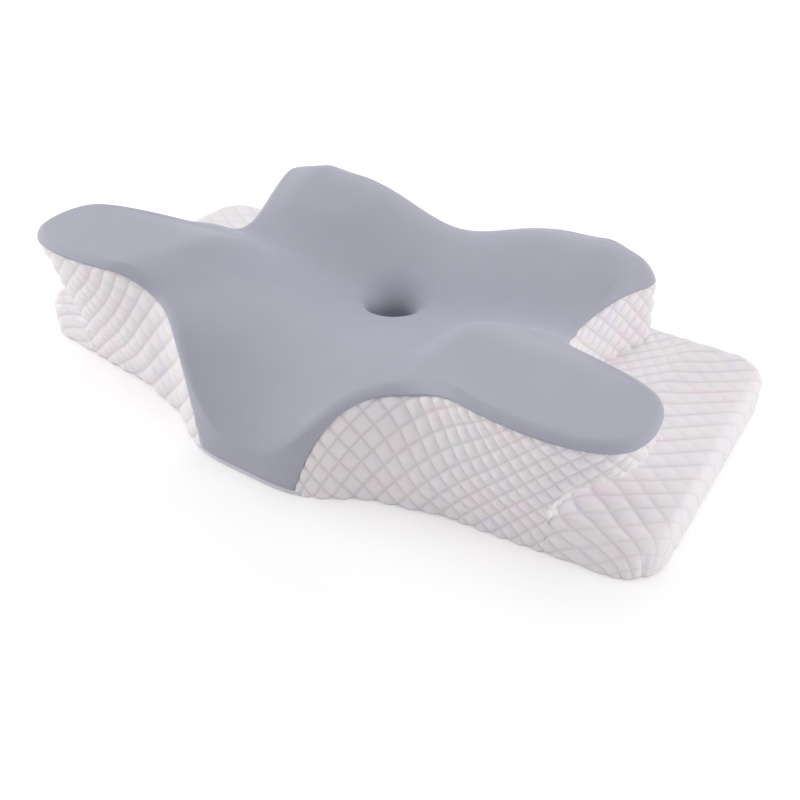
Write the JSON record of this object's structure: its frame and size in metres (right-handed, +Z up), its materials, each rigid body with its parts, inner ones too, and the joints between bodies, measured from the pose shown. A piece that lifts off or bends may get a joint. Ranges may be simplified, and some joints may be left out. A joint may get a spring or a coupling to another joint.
{
  "type": "cervical support pillow",
  "caption": "Butterfly-shaped contoured neck pillow on a flat slab, with arm slots under the wings, a vent through the middle and a zipped sewn cover.",
  "frame": {"origin": "on the surface the pillow rests on, midway along it and midway between its front and back", "axes": "+X along the pillow, to the right as seen from the neck side; +Y from the neck side to the back, where the zipper is; +Z up"},
  "size_m": [0.61, 0.3335, 0.1167],
  "materials": {
    "foam": "open-cell slow-recovery foam, matt",
    "liner": "thin white jersey, matt",
    "cooling_knit": "smooth lavender-grey knit, matt with a soft sheen",
    "quilted_knit": "white knit quilted in diamonds, matt",
    "zipper_tape": "woven polyester tape, matt",
    "zipper_coil": "moulded nylon coil",
    "zipper_metal": "plated, satin"
  },
  "bodies": {
    "pillow": {"foam_core": "foam", "inner_liner": "liner", "vent_sleeve": "cooling_knit", "top_panel": "cooling_knit", "front_hem": "quilted_knit", "bottom_panel": "quilted_knit", "back_panel": "quilted_knit", "front_panel_left": "quilted_knit", "front_panel_right": "quilted_knit", "side_panel_left": "quilted_knit", "side_panel_right": "quilted_knit", "wing_underside_left": "quilted_knit", "wing_underside_right": "quilted_knit", "armrest_panel_left": "quilted_knit", "armrest_panel_right": "quilted_knit", "end_panel_left": "quilted_knit", "end_panel_right": "quilted_knit", "zipper_tape_upper": "zipper_tape", "zipper_tape_lower": "zipper_tape", "zipper_coil_upper": "zipper_coil", "zipper_coil_lower": "zipper_coil", "zipper_top_stops": "zipper_metal", "zipper_bottom_stop": "zipper_metal"},
    "slider": {"zipper_slider": "zipper_metal"},
    "pull_tab": {"zipper_pull_tab": "zipper_metal"}
  },
  "joints": [
    {"name": "slider_travel", "type": "slide", "parent": "pillow", "child": "slider", "axis": [-1, 0, 0], "range_m": [0, 0.4223]},
    {"name": "pull_tab_swing", "type": "hinge", "parent": "slider", "child": "pull_tab", "pos_m": [0.21115, 0.16507, 0.0145], "axis": [0, 0, -1], "range_deg": [0, 170]}
  ]
}
